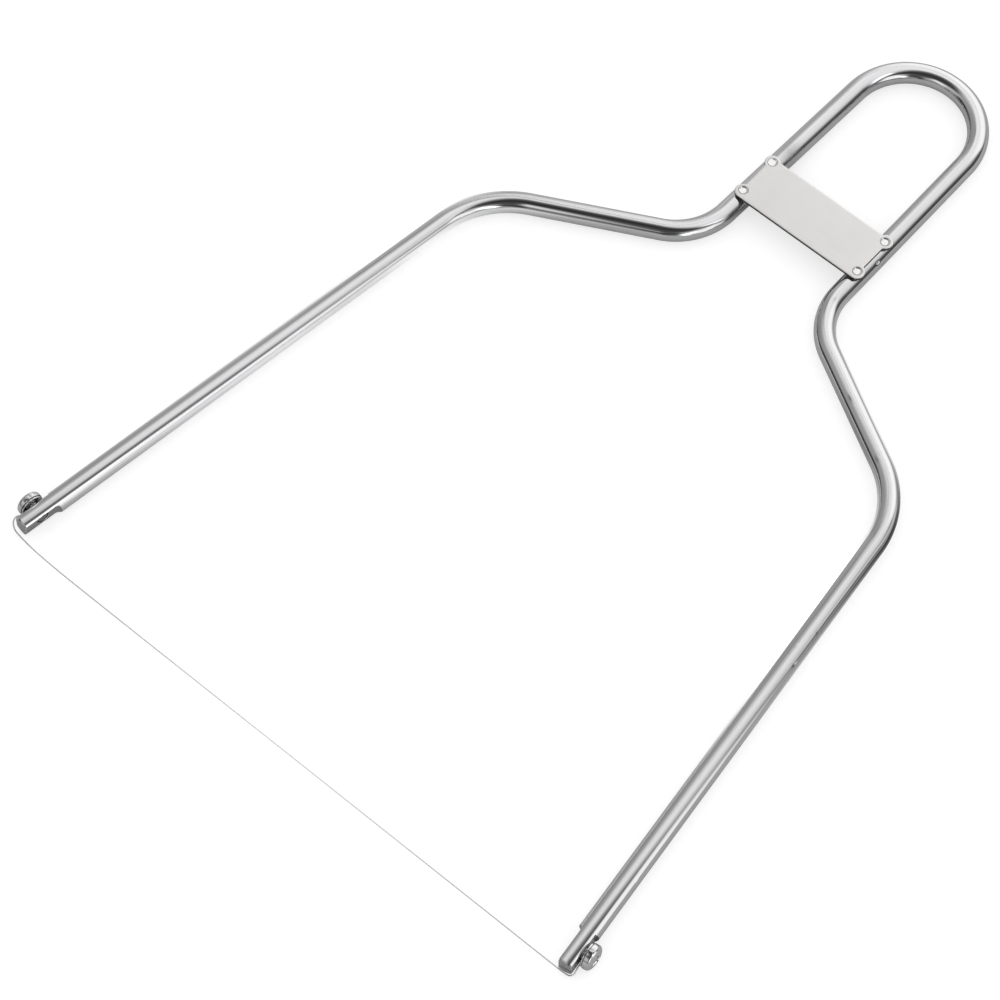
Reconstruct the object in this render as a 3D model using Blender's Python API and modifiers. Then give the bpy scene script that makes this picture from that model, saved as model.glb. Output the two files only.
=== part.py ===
# Wire cheese cutter: one round bar bent into a handle loop and two long arms, a plate
# riveted across the two shanks of the handle, and a cutting wire stretched between the
# milled ends of the arms, where a screw and a washer clamp it on each side.
#
# Lengths are in metres and angles in radians. The cutter lies flat: +Y points to the
# handle, +Z is the side that the plate is on, and it rests on its lowest points at z = 0.

import math

import bmesh
import bpy
from mathutils import Vector

# Bar, in the order in which it is bent, from the middle of the handle to one end
rod_radius = 0.0040
loop_radius = 0.0252
shank_splay = math.radians(1.08)
shank_length = 0.0728
bend_radius = 0.0251
bend_angle = math.radians(60.26)
diagonal_length = 0.0481
elbow_radius = 0.0369
elbow_angle = math.radians(54.09)
arm_length = 0.1771

# Milled ends: the two flats are measured from the axis of the bar
tongue_length = 0.0150
inner_flat = 0.0022
outer_flat = 0.0028
end_mill_radius = 0.0050
end_chamfer = 0.0004

# Play that is left between two pieces that bear on each other, and round a shank
seat_gap = 0.0002
hole_clearance = 0.00025

# Clamp screw, its place counted from the shoulder of the milled end
screw_place = 0.0070
screw_radius = 0.00225
screw_end_recess = 0.0005
screw_end_chamfer = 0.0004
head_radius = 0.00475
head_side = 0.0014
head_height = 0.0033
recess_span = 0.0046
recess_tip_span = 0.0018
recess_width = 0.0011
recess_tip_width = 0.0006
recess_depth = 0.0020
recess_turn = math.radians(20)

# Washer under the screw head
washer_radius = 0.0045
washer_thickness = 0.0006

# Cutting wire
wire_radius = 0.0003
wire_tail_place = 0.0012
wire_tail_rise = 0.00075
wire_tail_length = 0.0033
wire_bow_place = 0.0115
wire_tip_rise = 0.00025
wire_corner_radius = 0.0017
wire_end_gap = 0.0003

# Plate across the shanks, its rivet rows counted down from the centre of the loop
rivet_row_place = 0.0472
rivet_row_spacing = 0.0160
plate_waist = 0.0558
plate_top_margin = 0.0015
plate_lobe_radius = 0.0029
plate_fillet_radius = 0.0008
plate_thickness = 0.0012
plate_edge_round = 0.0002

# Rivets that hold the plate
rivet_radius = 0.0011
rivet_depth = 0.0035
rivet_head_radius = 0.00165
rivet_head_height = 0.00045

# How finely round shapes are cut into facets
bar_side_resolution = 10
wire_side_resolution = 2
bend_step = math.radians(6)
lobe_step = math.radians(15)
corner_steps = 4
tail_steps = 4
runout_steps = 6
shoulder_steps = 16
hole_segments = 24
turned_steps = 28
rivet_steps = 20
crown_steps = 7

# The head's crown is a superellipse, squarer than a circle
crown_share = 0.8

# Cuts run this far past the face that they cut
overrun = 0.0010
weld_distance = 0.000001

sides = {"left": -1, "right": 1}


def clear_scene():
    for thing in list(bpy.data.objects):
        bpy.data.objects.remove(thing, do_unlink=True)


def new_collection(name):
    collection = bpy.data.collections.new(name)
    bpy.context.scene.collection.children.link(collection)
    return collection


def metal(name, colour, roughness):
    material = bpy.data.materials.new(name)
    material.use_nodes = True
    shader = material.node_tree.nodes["Principled BSDF"]
    shader.inputs["Base Color"].default_value = (*colour, 1.0)
    shader.inputs["Metallic"].default_value = 1.0
    shader.inputs["Roughness"].default_value = roughness
    material.diffuse_color = (*colour, 1.0)
    return material


# The centreline of the bar is walked from the top of the loop to the end of one arm.
# A heading is the angle from -Y towards +X.

def arc_walk(place, heading, radius, angle):
    way = math.copysign(1, angle)
    centre = place + way * radius * Vector((math.cos(heading), math.sin(heading)))
    steps = math.ceil(abs(angle) / bend_step)
    points = []
    for step in range(1, steps + 1):
        turned = heading + angle * step / steps
        spoke = Vector((math.cos(turned), math.sin(turned)))
        points.append(centre - way * radius * spoke)
    return points


def straight_walk(place, heading, length):
    return [place + length * Vector((math.sin(heading), -math.cos(heading)))]


def half_centreline():
    """Points of the right half in the plane of the bar, from the centre of the loop."""
    bends = [
        (loop_radius, shank_splay - math.pi / 2),
        (bend_radius, bend_angle),
        (elbow_radius, -elbow_angle),
    ]
    runs = [shank_length, diagonal_length, arm_length]
    heading = math.pi / 2
    points = [Vector((0, loop_radius))]
    for (radius, angle), run in zip(bends, runs):
        points += arc_walk(points[-1], heading, radius, angle)
        heading += angle
        points += straight_walk(points[-1], heading, run)
    return points


arm_heading = shank_splay + bend_angle - elbow_angle
shoulder = half_centreline()[-1]

# Heights of the pieces at a milled end, counted outwards from the axis of the bar
wire_height = outer_flat + seat_gap + wire_radius
washer_height = wire_height + wire_radius + seat_gap
head_seat_height = washer_height + washer_thickness + seat_gap
screw_length = head_seat_height + inner_flat - screw_end_recess
screw_hole_radius = screw_radius + hole_clearance
rivet_hole_radius = rivet_radius + hole_clearance

# The wire crosses the end of the bar at this distance from the shoulder
wire_reach = tongue_length + wire_end_gap + wire_radius
wire_drop = screw_radius + seat_gap + wire_radius

# The cutter lies on its screw heads, with the middle of its length at y = 0
axis_height = head_radius
lowest_y = shoulder.y - wire_reach * math.cos(arm_heading) - inner_flat * math.sin(arm_heading)
loop_y = (wire_radius - lowest_y - loop_radius - rod_radius) / 2


def row_y(row):
    return -rivet_row_place - row * rivet_row_spacing


def shank_x(y):
    """Distance of a shank's axis from the middle, at a height y in the loop's frame."""
    start_x = loop_radius * math.cos(shank_splay)
    start_y = loop_radius * math.sin(shank_splay)
    return start_x + (start_y - y) * math.tan(shank_splay)


def rivet_places():
    places = {}
    for row, level in enumerate(("upper", "lower")):
        for name, side in sides.items():
            y = row_y(row)
            places[f"{level}_{name}"] = Vector((side * shank_x(y), y + loop_y, axis_height))
    return places


# Modelling helpers

def solid_from_curve(curve_object, collection):
    """Turn a curve into a closed mesh: weld its caps and point its faces out."""
    bpy.context.view_layer.update()
    depsgraph = bpy.context.evaluated_depsgraph_get()
    mesh = bpy.data.meshes.new_from_object(curve_object.evaluated_get(depsgraph))
    work = bmesh.new()
    work.from_mesh(mesh)
    bmesh.ops.remove_doubles(work, verts=work.verts, dist=weld_distance)
    bmesh.ops.recalc_face_normals(work, faces=work.faces)
    work.to_mesh(mesh)
    work.free()
    name = curve_object.name
    place = curve_object.matrix_world.copy()
    bpy.data.objects.remove(curve_object, do_unlink=True)
    mesh.name = name
    solid = bpy.data.objects.new(name, mesh)
    solid.matrix_world = place
    collection.objects.link(solid)
    return solid


def tube(name, points, radius, side_resolution, radius_shares, collection):
    """A round bar or wire along the points; each share scales the radius at its point."""
    curve = bpy.data.curves.new(name, "CURVE")
    curve.dimensions = "3D"
    curve.bevel_depth = radius
    curve.bevel_resolution = side_resolution
    curve.use_fill_caps = True
    spline = curve.splines.new("POLY")
    spline.points.add(len(points) - 1)
    for spot, place, share in zip(spline.points, points, radius_shares):
        spot.co = (*place, 1)
        spot.radius = share
    curve_object = bpy.data.objects.new(name, curve)
    collection.objects.link(curve_object)
    return solid_from_curve(curve_object, collection)


def prism(name, outline, thickness, collection):
    """A flat outline in its own XY plane, thickened evenly to both sides."""
    curve = bpy.data.curves.new(name, "CURVE")
    curve.dimensions = "2D"
    curve.fill_mode = "BOTH"
    curve.extrude = thickness / 2
    spline = curve.splines.new("POLY")
    spline.points.add(len(outline) - 1)
    for spot, (x, y) in zip(spline.points, outline):
        spot.co = (x, y, 0, 1)
    spline.use_cyclic_u = True
    curve_object = bpy.data.objects.new(name, curve)
    collection.objects.link(curve_object)
    return solid_from_curve(curve_object, collection)


def round_cutter(name, radius, depth, collection):
    """A cylinder along its own Z, with its origin in the middle."""
    mesh = bpy.data.meshes.new(name)
    work = bmesh.new()
    bmesh.ops.create_cone(
        work, cap_ends=True, segments=hole_segments, radius1=radius, radius2=radius, depth=depth
    )
    work.to_mesh(mesh)
    work.free()
    cutter = bpy.data.objects.new(name, mesh)
    collection.objects.link(cutter)
    return cutter


def turned_solid(name, profile, closed, steps, collection):
    """A profile of radius and height, swept round its own Z by a Screw modifier."""
    mesh = bpy.data.meshes.new(name)
    edges = [(index, index + 1) for index in range(len(profile) - 1)]
    if closed:
        edges.append((len(profile) - 1, 0))
    mesh.from_pydata([(radius, 0, height) for radius, height in profile], edges, [])
    solid = bpy.data.objects.new(name, mesh)
    collection.objects.link(solid)
    screw = solid.modifiers.new("turn", "SCREW")
    screw.axis = "Z"
    screw.steps = steps
    screw.render_steps = steps
    screw.use_merge_vertices = True
    screw.merge_threshold = weld_distance
    screw.use_smooth_shade = True
    return solid


def cut(solid, cutter):
    cutter.hide_render = True
    cutter.display_type = "WIRE"
    boolean = solid.modifiers.new(f"cut {cutter.name}", "BOOLEAN")
    boolean.operation = "DIFFERENCE"
    boolean.solver = "EXACT"
    boolean.object = cutter


def smooth(solid):
    solid.data.shade_smooth()
    solid.data.set_sharp_from_angle(angle=math.radians(30))


# An empty stands at the shoulder of each milled end: its +X runs to the tip of the bar,
# its +Z is up, and its Y runs across, outwards on the right and inwards on the left.

def end_empty(name, side, collection):
    empty = bpy.data.objects.new(f"{name}_end", None)
    empty.location = (side * shoulder.x, shoulder.y + loop_y, axis_height)
    empty.rotation_euler.z = side * arm_heading - math.pi / 2
    collection.objects.link(empty)
    return empty


def end_point(side, along, out, up):
    """World place of a point at a milled end, from its shoulder on the bar's axis."""
    ahead = Vector((side * math.sin(arm_heading), -math.cos(arm_heading), 0))
    outward = Vector((side * math.cos(arm_heading), math.sin(arm_heading), 0))
    base = Vector((side * shoulder.x, shoulder.y + loop_y, axis_height))
    return base + along * ahead + out * outward + up * Vector((0, 0, 1))


def place_on_end(piece, empty, side, along, out):
    """Stand a piece at an end with its own Z pointing outwards."""
    piece.parent = empty
    piece.location = (along, side * out, 0)
    piece.rotation_euler.x = -side * math.pi / 2


# Frame bar

def bar_points():
    half = half_centreline()
    tip = Vector((math.sin(arm_heading), -math.cos(arm_heading)))
    half[-1] = shoulder + (tongue_length - end_chamfer) * tip
    half.append(shoulder + tongue_length * tip)
    mirrored = [Vector((-point.x, point.y)) for point in reversed(half[1:])]
    return [Vector((point.x, point.y + loop_y, axis_height)) for point in mirrored + half]


def inner_flat_outline(side):
    """Cut of the inner flat seen from above, run out at the shoulder in a round."""
    depth = rod_radius - inner_flat
    outline = []
    for step in range(runout_steps + 1):
        angle = math.pi / 2 * step / runout_steps
        along = depth - depth * math.sin(angle)
        inward = rod_radius - depth * math.cos(angle)
        outline.append((along, -side * inward))
    outline.append((0, -side * (rod_radius + overrun)))
    outline.append((tongue_length + overrun, -side * (rod_radius + overrun)))
    outline.append((tongue_length + overrun, -side * inner_flat))
    return outline


def outer_flat_outline():
    """Path of the end mill that cuts the outer flat, with its round end at the shoulder."""
    outline = []
    for step in range(shoulder_steps + 1):
        angle = math.pi * step / shoulder_steps - math.pi / 2
        along = end_mill_radius - end_mill_radius * math.cos(angle)
        outline.append((along, end_mill_radius * math.sin(angle)))
    outline.append((tongue_length + overrun, end_mill_radius))
    outline.append((tongue_length + overrun, -end_mill_radius))
    return outline


def cut_end(bar, name, side, empty, cutters):
    inner = prism(f"{name}_inner_cut", inner_flat_outline(side), 2 * (rod_radius + overrun), cutters)
    inner.parent = empty
    cut(bar, inner)

    thickness = rod_radius + overrun - outer_flat
    outer = prism(f"{name}_outer_cut", outer_flat_outline(), thickness, cutters)
    outer.parent = empty
    outer.location.y = side * (outer_flat + thickness / 2)
    outer.rotation_euler.x = math.pi / 2
    cut(bar, outer)

    hole = round_cutter(f"{name}_screw_hole", screw_hole_radius, 2 * (rod_radius + overrun), cutters)
    place_on_end(hole, empty, side, screw_place, 0)
    cut(bar, hole)


def make_bar(ends, steel, parts, cutters):
    points = bar_points()
    shares = [1] * len(points)
    shares[0] = (rod_radius - end_chamfer) / rod_radius
    shares[-1] = shares[0]
    bar = tube("frame_rod", points, rod_radius, bar_side_resolution, shares, parts)
    for name, side in sides.items():
        cut_end(bar, name, side, ends[name], cutters)
    for name, place in rivet_places().items():
        hole = round_cutter(f"{name}_bar_hole", rivet_hole_radius, rivet_depth + overrun, cutters)
        hole.location = place
        hole.location.z += rod_radius + (overrun - rivet_depth) / 2
        cut(bar, hole)
    bar.data.materials.append(steel)
    smooth(bar)
    return bar


# Plate and rivets

def flat_arc(centre, radius, start, end):
    steps = math.ceil(abs(end - start) / lobe_step)
    points = []
    for step in range(steps + 1):
        angle = start + (end - start) * step / steps
        points.append(centre + radius * Vector((math.cos(angle), math.sin(angle))))
    return points


def plate_outline():
    """A strip that bulges round each rivet; its lower edge touches the lower bulges."""
    upper = Vector((shank_x(row_y(0)), row_y(0) + loop_y))
    lower = Vector((shank_x(row_y(1)), row_y(1) + loop_y))
    # Each fillet's centre lies this far from its bulge's, at these angles
    reach = plate_lobe_radius + plate_fillet_radius
    side = plate_waist / 2 + plate_fillet_radius
    crest = math.pi - math.asin((plate_top_margin + plate_fillet_radius) / reach)
    upper_waist = -math.acos((side - upper.x) / reach)
    lower_waist = math.acos((side - lower.x) / reach)
    corners = [
        (upper, crest, -math.pi / 2, crest - math.pi),
        (upper, upper_waist, upper_waist + math.pi, math.pi),
        (lower, lower_waist, math.pi, lower_waist + math.pi),
    ]
    fillets = []
    for lobe, angle, start, end in corners:
        centre = lobe + reach * Vector((math.cos(angle), math.sin(angle)))
        fillets.append(flat_arc(centre, plate_fillet_radius, start, end))
    half = fillets[0]
    half += flat_arc(upper, plate_lobe_radius, crest, upper_waist)[1:]
    half += fillets[1][1:]
    half += fillets[2]
    half += flat_arc(lower, plate_lobe_radius, lower_waist, -math.pi / 2)[1:]
    return half + [Vector((-point.x, point.y)) for point in reversed(half)]


def make_plate(satin, parts, cutters):
    plate = prism("cross_plate", plate_outline(), plate_thickness, parts)
    plate.location.z = axis_height + rod_radius + seat_gap + plate_thickness / 2
    bevel = plate.modifiers.new("edges", "BEVEL")
    bevel.width = plate_edge_round
    bevel.segments = 1
    bevel.limit_method = "ANGLE"
    bevel.angle_limit = math.radians(60)
    for name, place in rivet_places().items():
        depth = plate_thickness + 2 * overrun
        hole = round_cutter(f"{name}_plate_hole", rivet_hole_radius, depth, cutters)
        hole.location = (place.x, place.y, plate.location.z)
        cut(plate, hole)
    plate.data.materials.append(satin)
    return plate


def rivet_profile():
    """Low round head, then the shank down into the bar; z = 0 is under the head."""
    shank = 2 * seat_gap + plate_thickness + rivet_depth - seat_gap
    return [
        (0, rivet_head_height),
        (rivet_head_radius - rivet_head_height / 2, rivet_head_height),
        (rivet_head_radius, rivet_head_height / 2),
        (rivet_head_radius, 0),
        (rivet_radius, 0),
        (rivet_radius, -shank),
        (0, -shank),
    ]


def make_rivets(steel, parts):
    for name, place in rivet_places().items():
        rivet = turned_solid(f"rivet_{name}", rivet_profile(), False, rivet_steps, parts)
        rivet.location = place
        rivet.location.z += rod_radius + seat_gap + plate_thickness + seat_gap
        rivet.data.materials.append(steel)


# Clamp screws and washers

def screw_profile():
    """Pan head with its crown, then the shank; z = 0 is the underside of the head."""
    crown = head_height - head_side
    profile = [(0, head_height)]
    for step in range(1, crown_steps + 1):
        angle = math.pi / 2 * (1 - step / crown_steps)
        radius = head_radius * max(math.cos(angle), 0) ** crown_share
        height = head_side + crown * max(math.sin(angle), 0) ** crown_share
        profile.append((radius, height))
    profile += [
        (head_radius, 0),
        (screw_radius, 0),
        (screw_radius, screw_end_chamfer - screw_length),
        (screw_radius - screw_end_chamfer, -screw_length),
        (0, -screw_length),
    ]
    return profile


def recess_wing(name, turn, screw, cutters):
    """One of the two crossed wings of the driver recess, narrower at its bottom."""
    mesh = bpy.data.meshes.new(name)
    work = bmesh.new()
    bmesh.ops.create_cube(work, size=1)
    for vertex in work.verts:
        at_tip = vertex.co.z < 0
        vertex.co.x *= recess_tip_span if at_tip else recess_span
        vertex.co.y *= recess_tip_width if at_tip else recess_width
        vertex.co.z = head_height - recess_depth if at_tip else head_height + overrun
    work.to_mesh(mesh)
    work.free()
    wing = bpy.data.objects.new(name, mesh)
    wing.parent = screw
    wing.rotation_euler.z = turn
    cutters.objects.link(wing)
    cut(screw, wing)


def make_screw(name, side, empty, bright, parts, cutters):
    screw = turned_solid(f"{name}_clamp_screw", screw_profile(), False, turned_steps, parts)
    place_on_end(screw, empty, side, screw_place, head_seat_height)
    for wing, turn in enumerate((recess_turn, recess_turn + math.pi / 2)):
        recess_wing(f"{name}_recess_{wing}", turn, screw, cutters)
    screw.data.materials.append(bright)


def make_washer(name, side, empty, bright, parts):
    profile = [
        (screw_hole_radius, washer_thickness),
        (washer_radius, washer_thickness),
        (washer_radius, 0),
        (screw_hole_radius, 0),
    ]
    washer = turned_solid(f"{name}_washer", profile, True, turned_steps, parts)
    place_on_end(washer, empty, side, screw_place, washer_height)
    washer.data.materials.append(bright)


# Cutting wire

def wire_end_points(side):
    """From the cut tail by the shoulder, past the screw and round the tip of the bar."""
    points = []
    for step in range(tail_steps + 1):
        share = step / tail_steps
        rise = wire_tail_rise * (1 - share) ** 2
        along = wire_tail_place + share * wire_tail_length
        points.append(end_point(side, along, wire_height, rise - wire_drop))
    level = wire_tip_rise - wire_drop
    past_screw = 2 * screw_place - wire_tail_place - wire_tail_length
    points.append(end_point(side, past_screw, wire_height, -wire_drop))
    points.append(end_point(side, wire_bow_place, wire_height, level))
    inset = (wire_corner_radius - seat_gap - wire_radius) / math.sqrt(2)
    for step in range(corner_steps + 1):
        angle = math.pi / 2 * step / corner_steps
        along = tongue_length - inset + wire_corner_radius * math.sin(angle)
        out = outer_flat - inset + wire_corner_radius * math.cos(angle)
        points.append(end_point(side, along, out, level))
    points.append(end_point(side, wire_reach, -inner_flat, level))
    return points


def make_wire(drawn, parts):
    points = wire_end_points(sides["left"]) + list(reversed(wire_end_points(sides["right"])))
    wire = tube("cutting_wire", points, wire_radius, wire_side_resolution, [1] * len(points), parts)
    wire.data.materials.append(drawn)
    smooth(wire)


def main():
    clear_scene()
    parts = new_collection("wire_cheese_cutter")
    cutters = new_collection("cutters")
    polished = metal("polished_bar", (0.62, 0.62, 0.63), 0.14)
    satin = metal("satin_plate", (0.76, 0.745, 0.735), 0.34)
    bright = metal("plated_screw", (0.68, 0.66, 0.62), 0.2)
    drawn = metal("drawn_wire", (0.66, 0.66, 0.66), 0.3)
    ends = {name: end_empty(name, side, parts) for name, side in sides.items()}
    make_bar(ends, polished, parts, cutters)
    make_plate(satin, parts, cutters)
    make_rivets(polished, parts)
    for name, side in sides.items():
        make_washer(name, side, ends[name], bright, parts)
        make_screw(name, side, ends[name], bright, parts, cutters)
    make_wire(drawn, parts)
    bpy.context.view_layer.update()


main()
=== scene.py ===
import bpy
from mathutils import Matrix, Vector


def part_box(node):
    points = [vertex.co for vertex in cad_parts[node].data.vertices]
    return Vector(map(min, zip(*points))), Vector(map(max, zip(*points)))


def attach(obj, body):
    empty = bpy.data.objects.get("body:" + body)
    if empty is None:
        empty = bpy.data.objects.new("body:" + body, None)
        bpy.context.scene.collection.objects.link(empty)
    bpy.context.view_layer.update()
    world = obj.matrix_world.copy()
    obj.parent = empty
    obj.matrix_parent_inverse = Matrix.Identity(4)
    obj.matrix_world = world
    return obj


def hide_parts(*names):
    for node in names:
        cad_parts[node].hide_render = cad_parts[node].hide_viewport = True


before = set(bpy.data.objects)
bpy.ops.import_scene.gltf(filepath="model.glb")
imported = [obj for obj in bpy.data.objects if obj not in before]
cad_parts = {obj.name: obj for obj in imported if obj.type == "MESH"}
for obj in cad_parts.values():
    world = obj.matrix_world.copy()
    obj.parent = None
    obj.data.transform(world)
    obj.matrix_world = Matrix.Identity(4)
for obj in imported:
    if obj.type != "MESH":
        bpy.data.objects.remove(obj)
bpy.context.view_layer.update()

import math

import bpy
import numpy as np
from mathutils import Matrix, Vector

mm = 0.001
sideNames = {"left": -1, "right": 1}


def newPiece(name, points, faces, material, body, replaced, uv=None, flat=False):
    # points are in millimetres in the world; faces index them
    mesh = bpy.data.meshes.new(name)
    mesh.from_pydata((np.asarray(points) * mm).tolist(), [], np.asarray(faces).tolist())
    if uv is not None:
        layer = mesh.uv_layers.new(name="along")
        corners = np.empty(len(mesh.loops), dtype=np.int32)
        mesh.loops.foreach_get("vertex_index", corners)
        layer.data.foreach_set("uv", np.asarray(uv, dtype=np.float32)[corners].ravel())
    mesh.validate()
    mesh.materials.append(material)
    piece = bpy.data.objects.new(name, mesh)
    bpy.context.scene.collection.objects.link(piece)
    if not flat:
        mesh.shade_smooth()
    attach(piece, body)
    if replaced:
        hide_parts(*replaced)
    return piece


def gridFaces(rows, columns, closedAcross=True, closedAlong=False):
    # quads of a grid with index row * columns + column, wound so that rows x columns points out
    acrossCount = columns if closedAcross else columns - 1
    alongCount = rows if closedAlong else rows - 1
    i = np.arange(alongCount)[:, None]
    j = np.arange(acrossCount)[None, :]
    nextI = (i + 1) % rows
    nextJ = (j + 1) % columns
    quads = np.stack([i * columns + j, i * columns + nextJ, nextI * columns + nextJ, nextI * columns + j], -1)
    return quads.reshape(-1, 4)


def fixNormals(piece):
    import bmesh
    work = bmesh.new()
    work.from_mesh(piece.data)
    bmesh.ops.remove_doubles(work, verts=work.verts, dist=1e-7)
    bmesh.ops.recalc_face_normals(work, faces=work.faces)
    work.to_mesh(piece.data)
    work.free()


# bar's course: its heading changes evenly along each bend, and its place is the heading's integral
bar = {
    "radius": 4.0,
    "loopRadius": 25.2,
    "splay": 1.08,
    "shankLength": 72.8,
    "bendRadius": 25.1,
    "bendAngle": 60.26,
    "diagonalLength": 48.1,
    "elbowRadius": 36.9,
    "elbowAngle": 54.09,
    "armLength": 177.1,
    "tongueLength": 15.0,
    "innerFlat": 2.2,
    "outerFlat": 2.8,
    "endMillRadius": 5.0,
    "endChamfer": 0.4,
    "holeRadius": 2.5,
    "holeChamfer": 0.5,
    "screwPlace": 7.0,
    "axisHeight": 4.75,
}

headings = np.radians([90, bar["splay"], bar["splay"], bar["splay"] + bar["bendAngle"],
                       bar["splay"] + bar["bendAngle"],
                       bar["splay"] + bar["bendAngle"] - bar["elbowAngle"],
                       bar["splay"] + bar["bendAngle"] - bar["elbowAngle"]])
runs = [bar["loopRadius"] * (headings[0] - headings[1]), bar["shankLength"],
        bar["bendRadius"] * (headings[3] - headings[2]), bar["diagonalLength"],
        bar["elbowRadius"] * (headings[4] - headings[5]), bar["armLength"] + bar["tongueLength"]]
stations = np.concatenate([[0], np.cumsum(runs)])
fineS = np.linspace(0, stations[-1], 80001)
fineHeading = np.interp(fineS, stations, headings)
middle = (fineHeading[1:] + fineHeading[:-1]) / 2
stepS = fineS[1] - fineS[0]
fineX = np.concatenate([[0], np.cumsum(np.sin(middle)) * stepS])
fineY = bar["loopRadius"] - np.concatenate([[0], np.cumsum(np.cos(middle)) * stepS])
shoulderS = stations[-1] - bar["tongueLength"]
armHeading = headings[-1]
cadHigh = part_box("frame_rod")[1]
loopY = cadHigh[1] / mm - bar["loopRadius"] - bar["radius"]     # the loop's centre, in the world


def course(s):
    # centreline point, forward and outward directions at signed distance s from the loop's top
    side = np.where(s < 0, -1.0, 1.0)
    a = np.abs(s)
    heading = np.interp(a, stations, headings)
    x = np.interp(a, fineS, fineX) * side
    y = np.interp(a, fineS, fineY) + loopY
    point = np.stack([x, y, np.full_like(x, bar["axisHeight"])], axis=-1)
    ahead = np.stack([side * np.sin(heading), -np.cos(heading), 0 * x], axis=-1)
    outward = np.stack([side * np.cos(heading), np.sin(heading), 0 * x], axis=-1)
    return point, ahead, outward


def endFrame(side):
    # shoulder's place on the axis, and the directions along the arm, outwards and up
    point, ahead, outward = course(np.array([side * shoulderS]))
    return point[0], ahead[0], outward[0], np.array([0.0, 0.0, 1.0])


def onEnd(side, along, out, up):
    base, ahead, outward, upward = endFrame(side)
    along, out, up = np.broadcast_arrays(along, out, up)
    return base + along[..., None] * ahead + out[..., None] * outward + up[..., None] * upward


def newMaterial(name):
    material = bpy.data.materials.new(name)
    material.use_nodes = True
    return material, material.node_tree, material.node_tree.nodes["Principled BSDF"]


def node(tree, kind, **values):
    made = tree.nodes.new(kind)
    for key, value in values.items():
        if hasattr(made, key):
            setattr(made, key, value)
        else:
            made.inputs[key.replace("_", " ")].default_value = value
    return made


def ramp(tree, source, low, high, fromLow=0.0, fromHigh=1.0):
    # straight-line map of a value
    made = tree.nodes.new("ShaderNodeMapRange")
    made.inputs["From Min"].default_value = fromLow
    made.inputs["From Max"].default_value = fromHigh
    made.inputs["To Min"].default_value = low
    made.inputs["To Max"].default_value = high
    tree.links.new(source, made.inputs["Value"])
    return made.outputs["Result"]


def math2(tree, operation, a, b=None):
    made = tree.nodes.new("ShaderNodeMath")
    made.operation = operation
    for socket, value in zip(made.inputs, (a, b)):
        if value is None:
            continue
        if isinstance(value, (int, float)):
            socket.default_value = value
        else:
            tree.links.new(value, socket)
    return made.outputs[0]


def spot(tree, vector, place, turn, size):
    # soft spot: e^-(u^2 + v^2), u and v measured from its place in half sizes along its turned sides
    local = tree.nodes.new("ShaderNodeMapping")
    local.vector_type = "TEXTURE"
    local.inputs["Location"].default_value = (*place, 0)
    local.inputs["Rotation"].default_value = (0, 0, turn)
    local.inputs["Scale"].default_value = (*size, 1)
    tree.links.new(vector, local.inputs["Vector"])
    square = tree.nodes.new("ShaderNodeVectorMath")
    square.operation = "DOT_PRODUCT"
    tree.links.new(local.outputs[0], square.inputs[0])
    tree.links.new(local.outputs[0], square.inputs[1])
    return math2(tree, "POWER", 2.718282, math2(tree, "MULTIPLY", square.outputs["Value"], -1.0))


def spotsOnBar(tree, uv, spots):
    # sum of spots, each with its place (mm along, degrees from the top outwards), half sizes mm and strength
    total = None
    for along, degrees, halfLength, halfWidth, strength in spots:
        one = spot(tree, uv, (along / 10, degrees / 360), 0.0,
                   (halfLength / 10, halfWidth / (2 * math.pi * bar["radius"])))
        one = math2(tree, "MULTIPLY", one, strength)
        total = one if total is None else math2(tree, "ADD", total, one)
    return total


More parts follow.
